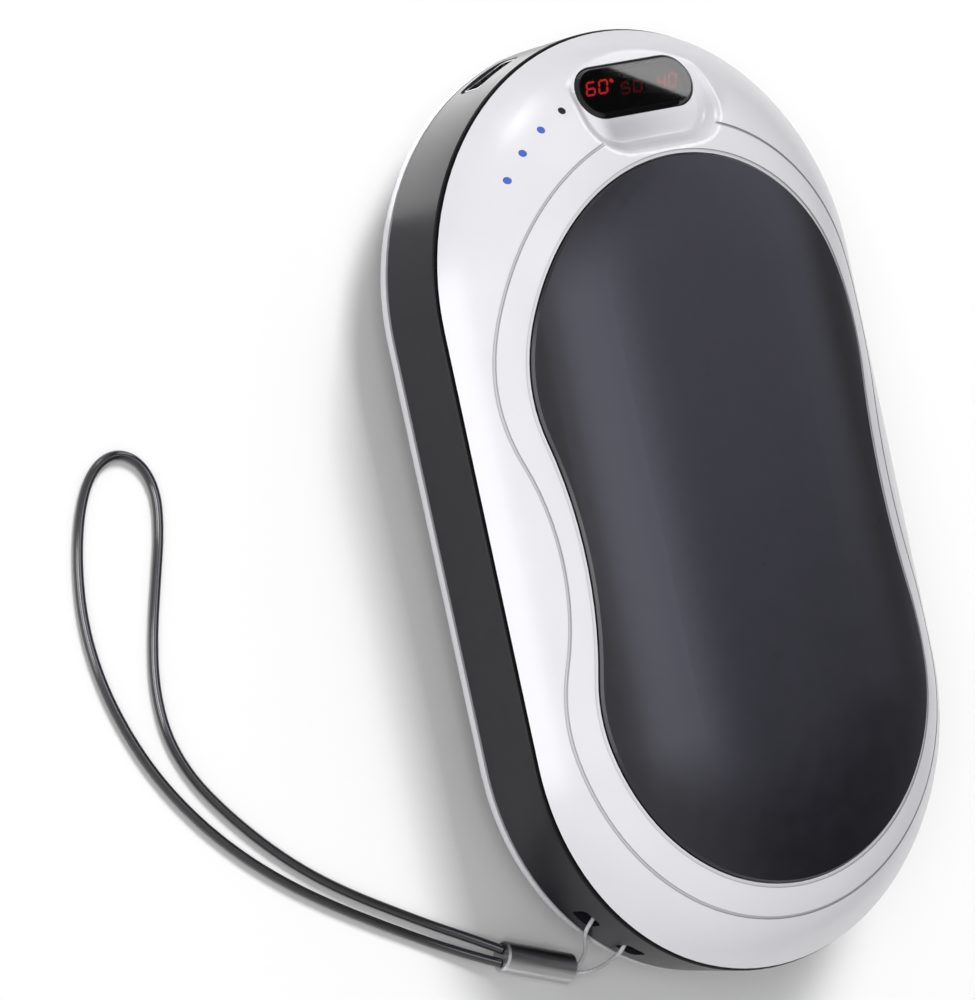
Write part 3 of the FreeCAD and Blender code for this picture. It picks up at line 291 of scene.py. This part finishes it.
def finish(name, dark, light, roughness, mottle, relief=0.0, grain=1.0, stretch=None, turn=0.0, **fixed):
    """A surface whose colour, roughness and fine relief vary with noise in the object's own space."""
    material = bpy.data.materials.new(name)
    material.use_nodes = True
    tree = material.node_tree
    shader = tree.nodes["Principled BSDF"]
    place = add(tree, "TexCoord").outputs["Object"]
    if stretch:
        inputs = {"Vector": place, "Rotation": (0, 0, turn), "Scale": stretch}
        place = add(tree, "Mapping", inputs, vector_type="TEXTURE").outputs["Vector"]
    cloud = add(tree, "TexNoise", {"Vector": place, "Scale": mottle, "Detail": MOTTLE_DETAIL}).outputs["Fac"]
    colours = add(tree, "ValToRGB", {"Fac": cloud})
    for stop, position, colour in zip(colours.color_ramp.elements, MOTTLE_STOPS, (dark, light)):
        stop.position = position
        stop.color = (*colour, 1)
    feed(tree, shader.inputs["Base Color"], colours.outputs["Color"])
    feed(tree, shader.inputs["Roughness"], ranged(tree, cloud, (0, 1), roughness))
    if relief:
        speckle = add(tree, "TexNoise", {"Vector": place, "Scale": grain}).outputs["Fac"]
        bump = add(tree, "Bump", {"Strength": relief, "Distance": 1 / grain, "Height": speckle})
        feed(tree, shader.inputs["Normal"], bump.outputs["Normal"])
    for socket, value in fixed.items():
        shader.inputs[socket.replace("_", " ")].default_value = value
    return material


def blend(material, socket, weight, other):
    """Mixes what feeds one of the shader's sockets with a set value."""
    tree = material.node_tree
    target = tree.nodes["Principled BSDF"].inputs[socket]
    kind = "RGBA" if target.type == "RGBA" else "FLOAT"
    feed(tree, target, mixed(tree, kind, weight, target.links[0].from_socket, other))


def darken_joints(material):
    """Black grooves where the band meets the shells, above and below its plain wall."""
    tree = material.node_tree
    height = add(tree, "SeparateXYZ", {"Vector": own_place(tree)}).outputs["Z"]
    off = worked(tree, height, ("SUBTRACT", BAND_MIDDLE), ("ABSOLUTE", 0))
    groove = worked(tree, off, ("GREATER_THAN", BAND_WALL_HALF))
    blend(material, "Base Color", groove, JOINT_BLACK)
    blend(material, "Roughness", groove, JOINT_ROUGHNESS)
    return material


def paint_hollow_shade(material):
    """Painted shade: a darker colour in narrow grooves and in the display's scoop, found by occlusion."""
    tree = material.node_tree
    hollow = add(tree, "AmbientOcclusion", {"Distance": HOLLOW_REACH}, samples=HOLLOW_SAMPLES)
    weight = ranged(tree, hollow.outputs["AO"], HOLLOW_RANGE, (HOLLOW_WEIGHT, 0.0))
    blend(material, "Base Color", weight, HOLLOW_PAINTED_SHADE)
    return material


def paint_scoop_shade(material):
    """Painted shade: a greyer colour on the scoop's floor below the lens, weaker towards the right."""
    tree = material.node_tree
    distance, across, rise = window_distance(tree)
    weight = faded(tree, distance, SCOOP_REACH, (1.0, 0.0))
    for value, span, levels in (
        (rise, SCOOP_RISE, (1.0, 0.0)),
        (across, SCOOP_LEFT, (0.0, 1.0)),
        (across, SCOOP_ACROSS, (1.0, SCOOP_RIGHT)),
    ):
        weight = joined(tree, "MULTIPLY", weight, faded(tree, value, span, levels))
    blend(material, "Base Color", weight, SCOOP_PAINTED_SHADE)
    return material


def paint_sleeve_reflection(material):
    """A painted dark reflection along the sleeve's side that faces the housing's middle."""
    tree = material.node_tree
    corners = [Vector(corner) for corner in sleeve.bound_box]
    centre = sum(corners, Vector()) / len(corners)
    across = stadium_distance(tree, centre, (0, 0, SLEEVE_TURN), 0)[2]
    blend(material, "Base Color", faded(tree, across, SLEEVE_FADE, (0.0, SLEEVE_REFLECTION_WEIGHT)), SLEEVE_PAINTED_REFLECTION)
    return material


def soften_crown(material):
    """Lets the shading run softly from the flat middle of the dome into its round sides.

    The relief is a cubic on either side of the flat's edge, so its slope has no step inside the blend.
    """
    tree = material.node_tree
    distance = stadium_distance(tree, (0, 0, 0), (0, 0, math.pi / 2), DOME_REACH)[0]
    past_edge = worked(tree, distance, ("SUBTRACT", CROWN_HALF))
    scale = -1 / (12 * CROWN_RADIUS * CROWN_BLEND)
    side = worked(tree, past_edge, ("SIGN", 0), ("MULTIPLY", scale))
    off_edge = worked(tree, past_edge, ("ABSOLUTE", 0), ("MULTIPLY", -1))
    left_over = worked(tree, off_edge, ("ADD", CROWN_BLEND), ("MAXIMUM", 0))
    drop = worked(tree, left_over, ("POWER", 3), ("MULTIPLY", -1), ("ADD", CROWN_BLEND ** 3))
    height = joined(tree, "MULTIPLY", drop, side)
    soft = add(tree, "Bump", {"Strength": 1.0, "Distance": 1.0, "Height": height})
    feed(tree, tree.nodes["Bump"].inputs["Normal"], soft.outputs["Normal"])
    return material


def black_rim(material):
    """A printed black border around the lens, clear only inside it."""
    tree = material.node_tree
    clear = worked(tree, window_distance(tree)[0], ("LESS_THAN", WINDOW_RADIUS - WINDOW_RIM))
    feed(tree, tree.nodes["Principled BSDF"].inputs["Transmission Weight"], clear)
    blend(material, "Base Color", joined(tree, "SUBTRACT", 1.0, clear), RIM_BLACK)
    return material


def make_finishes():
    """A finish for each material slot of the record."""
    return {
        "white_shell": paint_hollow_shade(paint_scoop_shade(finish(
            "white gloss", (0.785, 0.776, 0.813), (0.810, 0.800, 0.838), (0.26, 0.32),
            mottle=120.0, relief=0.02, grain=2500.0, Coat_Weight=0.3, Coat_Roughness=0.2,
        ))),
        "charcoal_band": darken_joints(finish(
            "charcoal satin", (0.009, 0.0083, 0.0125), (0.012, 0.0112, 0.0160), (0.26, 0.32),
            mottle=500.0, relief=0.08, grain=6000.0, Specular_IOR_Level=0.22,
        )),
        "slate_plate": soften_crown(finish(
            "slate satin", (0.0095, 0.0088, 0.0130), (0.0120, 0.0112, 0.0165), (0.26, 0.31),
            mottle=400.0, relief=0.05, grain=7000.0,
        )),
        "gasket": finish(
            "gasket foam", (0.02, 0.02, 0.02), (0.04, 0.04, 0.04), (0.7, 0.9),
            mottle=900.0, relief=0.4, grain=3000.0,
        ),
        "heater_film": finish(
            "amber film", (0.45, 0.18, 0.03), (0.60, 0.27, 0.06), (0.2, 0.35), mottle=200.0,
        ),
        "insulation": finish(
            "felt", (0.62, 0.61, 0.57), (0.78, 0.77, 0.73), (0.85, 1.0),
            mottle=900.0, relief=0.6, grain=2500.0,
        ),
        "bead": finish("epoxy bead", (0.03, 0.03, 0.03), (0.06, 0.06, 0.06), (0.25, 0.4), mottle=600.0),
        "pouch_cell": finish(
            "foil pouch", (0.55, 0.56, 0.58), (0.68, 0.69, 0.71), (0.25, 0.4),
            mottle=150.0, relief=0.1, grain=800.0, Metallic=0.8,
        ),
        "tape": finish("tape", (0.70, 0.69, 0.62), (0.80, 0.79, 0.72), (0.6, 0.8), mottle=500.0),
        "circuit_board": finish(
            "solder mask", (0.015, 0.10, 0.04), (0.03, 0.16, 0.07), (0.3, 0.45), mottle=700.0,
        ),
        "screw_steel": finish(
            "screw steel", (0.45, 0.46, 0.48), (0.60, 0.61, 0.63), (0.25, 0.4), mottle=900.0, Metallic=1.0,
        ),
        "socket_steel": finish(
            "socket steel", (0.14, 0.14, 0.15), (0.24, 0.24, 0.26), (0.2, 0.35), mottle=1200.0, Metallic=1.0,
        ),
        "socket_tongue": finish(
            "tongue plastic", (0.02, 0.02, 0.022), (0.035, 0.035, 0.038), (0.4, 0.55), mottle=900.0,
        ),
        "button": finish(
            "button satin", (0.030, 0.030, 0.034), (0.038, 0.038, 0.043), (0.3, 0.4),
            mottle=500.0, relief=0.1, grain=6000.0,
        ),
        "switch_black": finish(
            "switch plastic", (0.02, 0.02, 0.02), (0.03, 0.03, 0.03), (0.4, 0.5), mottle=700.0,
        ),
        "lens": black_rim(finish(
            "smoked lens", (0.05, 0.05, 0.055), (0.06, 0.06, 0.066), (0.01, 0.02), mottle=200.0, IOR=1.49,
        )),
        "module_black": finish(
            "module plastic", (0.004, 0.004, 0.004), (0.007, 0.007, 0.007), (0.5, 0.6), mottle=600.0,
        ),
        "pin_metal": finish(
            "pin metal", (0.60, 0.50, 0.28), (0.75, 0.62, 0.35), (0.25, 0.35), mottle=900.0, Metallic=1.0,
        ),
        "unlit_light": finish(
            "unlit light", (0.008, 0.008, 0.010), (0.015, 0.015, 0.018), (0.15, 0.25), mottle=900.0,
        ),
        "blue_light": finish(
            "blue light", (0.03, 0.07, 0.32), (0.04, 0.09, 0.40), (0.15, 0.25),
            mottle=900.0, Emission_Color=(0.05, 0.16, 0.75, 1), Emission_Strength=0.35,
        ),
        "led": finish("led chip", (0.75, 0.72, 0.50), (0.88, 0.85, 0.62), (0.4, 0.5), mottle=900.0),
        "lead_white": finish("white wire", (0.72, 0.72, 0.70), (0.82, 0.82, 0.80), (0.4, 0.5), mottle=700.0),
        "lead_red": finish("red wire", (0.45, 0.03, 0.02), (0.58, 0.05, 0.04), (0.4, 0.5), mottle=700.0),
        "string": finish(
            "grey string", (0.42, 0.42, 0.44), (0.55, 0.55, 0.57), (0.3, 0.45),
            mottle=3000.0, relief=0.3, grain=9000.0,
        ),
        "cord": finish(
            "dark cord", (0.014, 0.014, 0.015), (0.022, 0.022, 0.024), (0.16, 0.22),
            mottle=1500.0, relief=0.04, grain=6000.0, Coat_Weight=0.6, Coat_Roughness=0.08,
        ),
        "sleeve": paint_sleeve_reflection(finish(
            "brushed sleeve", (0.48, 0.48, 0.49), (0.68, 0.68, 0.69), (0.24, 0.36),
            mottle=2500.0, relief=0.08, grain=3000.0, stretch=SLEEVE_BRUSH, turn=SLEEVE_TURN, Metallic=1.0,
        )),
    }


def cord_curve(name, route, diameter):
    """A round cord along a smooth curve with the route's points as its control points."""
    curve = bpy.data.curves.new(name, "CURVE")
    curve.dimensions = "3D"
    spline = curve.splines.new("NURBS")
    spline.points.add(len(route) - 1)
    for point, place in zip(spline.points, route):
        point.co = (*place, 1.0)
        point.radius = diameter / 2
    spline.order_u = CURVE_ORDER
    spline.use_endpoint_u = True
    curve.resolution_u = CURVE_STEPS
    curve.bevel_depth = 1.0
    curve.bevel_resolution = CURVE_ROUNDNESS
    curve.use_fill_caps = True
    return link(bpy.data.objects.new(name, curve))


def bar(start, end):
    """Corners of a segment with pointed ends."""
    along = (end - start).normalized()
    across = Vector((-along.y, along.x)) * FIGURE_STROKE / 2
    tip = along * FIGURE_STROKE / 2
    gap = along * FIGURE_STROKE * SEGMENT_GAP_SHARE
    start, end = start + gap, end - gap
    return [start, start + tip - across, end - tip - across, end, end - tip + across, start + tip + across]


def figure_outlines(text, left, low, width, height, pitch):
    """Outlines of all segments of a number, as lists of points in the window's plane."""
    outlines = []
    for number, digit in enumerate(text):
        for name in SEGMENTS[digit]:
            ends = []
            for across, rise in SEGMENT_ENDS[name]:
                y = rise * height / 2
                ends.append(Vector((left + number * pitch + across * width + y * FIGURE_SLANT, low + y)))
            outlines.append(bar(*ends))
    return outlines


def degree_mark():
    turns = [step * math.tau / DEGREE_CORNERS for step in range(DEGREE_CORNERS)]
    return [DEGREE_PLACE + Vector((math.cos(turn), math.sin(turn))) * DEGREE_RADIUS for turn in turns]


def lit(name, glow):
    """A red that shines."""
    dark, light = [[part * share for part in FIGURE_RED] for share in FIGURE_UNLIT_SHARES]
    return finish(name, dark, light, FIGURE_ROUGHNESS, FIGURE_MOTTLE, Emission_Color=(*FIGURE_RED, 1),
                  Emission_Strength=glow)


def figure_piece(name, outlines, material):
    """Thin lit plates on the module's face, seen through the lens."""
    vertices, faces = [], []
    for outline in outlines:
        first, count = len(vertices), len(outline)
        for lift in (FIGURE_DEPTH, FIGURE_DEPTH + FIGURE_THICKNESS):
            vertices += [(point.x, point.y, lift) for point in outline]
        faces.append([first + count + step for step in range(count)])
        faces.append([first + step for step in reversed(range(count))])
        for step in range(count):
            after = (step + 1) % count
            faces.append([first + step, first + after, first + count + after, first + count + step])
    mesh = bpy.data.meshes.new(name)
    mesh.from_pydata(vertices, [], faces)
    mesh.transform(WINDOW_MATRIX)
    mesh.materials.append(material)
    piece = link(bpy.data.objects.new(name, mesh))
    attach(piece, BODY)


def make_floor():
    half = FLOOR_SIZE / 2
    corners = [(-half, -half, 0), (half, -half, 0), (half, half, 0), (-half, half, 0)]
    mesh = bpy.data.meshes.new("floor")
    mesh.from_pydata(corners, [], [range(len(corners))])
    material = bpy.data.materials.new("pale floor")
    material.use_nodes = True
    tree = material.node_tree
    tree.nodes.clear()
    path = add(tree, "LightPath").outputs
    shade = ranged(tree, path["Is Camera Ray"], (0, 1), (FLOOR_SHADE, FLOOR_SEEN))
    place = add(tree, "SeparateXYZ", {"Vector": add(tree, "TexCoord").outputs["Object"]})
    mirrored_shade = ranged(tree, place.outputs["X"], FLOOR_FADE, FLOOR_MIRRORED)
    colour = mixed(tree, "FLOAT", path["Is Glossy Ray"], shade, mirrored_shade)
    diffuse = add(tree, "BsdfDiffuse", {"Color": colour})
    add(tree, "OutputMaterial", {"Surface": diffuse.outputs["BSDF"]})
    mesh.materials.append(material)
    floor = link(bpy.data.objects.new("floor", mesh))
    return floor


def make_world():
    """White for the camera and through the lens, dim as a light, and shaded across when mirrored."""
    world = bpy.data.worlds.new("studio")
    scene.world = world
    world.use_nodes = True
    tree = world.node_tree
    tree.nodes.clear()
    path = add(tree, "LightPath").outputs
    seen = joined(tree, "MAXIMUM", path["Is Camera Ray"], path["Is Glossy Ray"])
    through = joined(tree, "MAXIMUM", seen, path["Is Transmission Ray"])
    level = ranged(tree, through, (0, 1), (WORLD_LIGHT, 1.0))
    sides = add(tree, "SeparateXYZ", {"Vector": add(tree, "TexCoord").outputs["Generated"]})
    ramp = add(tree, "ValToRGB", {"Fac": sides.outputs["X"]})
    stops = ramp.color_ramp.elements
    while len(stops) < len(WORLD_SHADES):
        stops.new(1.0)
    for stop, (position, shade) in zip(stops, WORLD_SHADES):
        stop.position = position
        stop.color = (shade, shade, shade, 1)
    colour = mixed(tree, "RGBA", path["Is Glossy Ray"], WHITE, ramp.outputs["Color"])
    background = add(tree, "Background", {"Color": colour, "Strength": level})
    add(tree, "OutputWorld", {"Surface": background.outputs["Background"]})


def falls_on(light, item, state):
    """Lets a light fall on one object alone, or on all but that one."""
    group = bpy.data.collections.new(light.name + " falls on")
    group.objects.link(item)
    light.light_linking.receiver_collection = group
    group.collection_objects[0].light_linking.link_state = state


def area_light(name, place, size, radiance, target=LIGHT_TARGET, along=None, only="glossy", colour=WHITE[:3],
               keeps_to=None, spares=None):
    """A panel of a given radiance for diffuse or glossy light. It may keep to one object, or spare one."""
    width, height = size
    data = bpy.data.lights.new(name, "AREA")
    data.shape = "RECTANGLE"
    data.color = colour
    data.size, data.size_y = width, height
    data.energy = radiance * math.pi * width * height
    back = (place - target).normalized()
    right = along - back * along.dot(back) if along else UP.cross(back)
    light = link(bpy.data.objects.new(name, data))
    light.matrix_world = placed(place, right.normalized(), back)
    light.visible_camera = False
    light.visible_glossy = only == "glossy"
    light.visible_diffuse = only == "diffuse"
    for item, state in ((keeps_to, "INCLUDE"), (spares, "EXCLUDE")):
        if item:
            falls_on(light, receivers[item], state)


def mirrored(point):
    """The place that the camera sees mirrored at a point of the lens, at the panel's distance."""
    face = WINDOW_MATRIX @ point
    normal = (WINDOW_TURN @ UP).normalized()
    ray = (face - CAMERA_PLACE).normalized()
    return face + ray.reflect(normal) * PANEL_DISTANCE


def make_lens_panel():
    first, second = [mirrored(point) for point in LENS_EDGE_POINTS]
    lit_place = mirrored(LENS_LIT_POINT)
    middle = (first + second) / 2
    along = (second - first).normalized()
    back = (middle - WINDOW_CENTRE).normalized()
    side = (lit_place - middle) - along * (lit_place - middle).dot(along)
    side = (side - back * side.dot(back)).normalized()
    place = middle + side * PANEL_SIZE / 2
    area_light("lens panel", place, (PANEL_SIZE, PANEL_SIZE), PANEL_RADIANCE, WINDOW_CENTRE, along)


make_camera()
string = cord_curve("lanyard_string", STRING_ROUTE, STRING_DIAMETER)
cord = cord_curve("lanyard_cord", CORD_ROUTE, CORD_DIAMETER)
for piece, node, slot in ((string, "strap_string", "string"), (cord, "strap_cord", "cord")):
    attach(piece, BODY)
    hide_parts(node)

finishes = make_finishes()
for entry in frame["record"]["subparts"]:
    mesh = frame["nodes"][entry["node"]].data
    mesh.materials.clear()
    mesh.materials.append(finishes[entry["material_slot"]])
string.data.materials.append(finishes["string"])
cord.data.materials.append(finishes["cord"])

first_outlines = figure_outlines(**FIRST_FIGURES) + [degree_mark()]
figure_piece("figures_first", first_outlines, lit("lit red", FIRST_GLOW))
figure_piece("figures_second", figure_outlines(**SECOND_FIGURES), lit("dim red", SECOND_GLOW))
figure_piece("figures_third", figure_outlines(**THIRD_FIGURES), lit("faint red", THIRD_GLOW))

floor = make_floor()
make_world()
receivers = {"floor": floor, "cord": cord, "sleeve": sleeve, "plate": frame["nodes"]["front_heat_plate"]}
for name, settings in LIGHTS.items():
    area_light(name, **settings)
make_lens_panel()
scene.view_settings.view_transform = "Standard"

bpy.context.view_layer.update()
